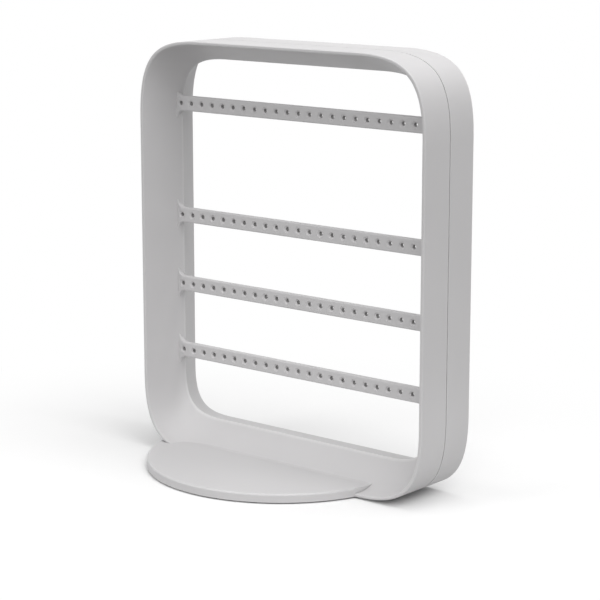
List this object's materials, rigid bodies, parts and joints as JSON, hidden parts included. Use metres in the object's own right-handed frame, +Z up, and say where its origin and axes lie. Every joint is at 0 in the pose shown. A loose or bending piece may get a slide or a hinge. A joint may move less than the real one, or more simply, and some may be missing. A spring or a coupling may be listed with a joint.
{
  "type": "earring display stand",
  "caption": "Upright rounded-rectangle loop with drilled horizontal bars for earrings, standing on a round front foot.",
  "frame": {"origin": "centre of the outline on the surface that the pads stand on", "axes": "+Z up, -Y to the front where the round foot is, +X to the right along the bars as seen from the front"},
  "size_m": [0.19, 0.0886, 0.2258],
  "materials": {
    "shell_plastic": null,
    "pad_rubber": null
  },
  "bodies": {
    "root": {"front_frame": "shell_plastic", "rear_frame": "shell_plastic", "pad_1": "pad_rubber", "pad_2": "pad_rubber", "pad_3": "pad_rubber", "pad_4": "pad_rubber"}
  },
  "joints": []
}
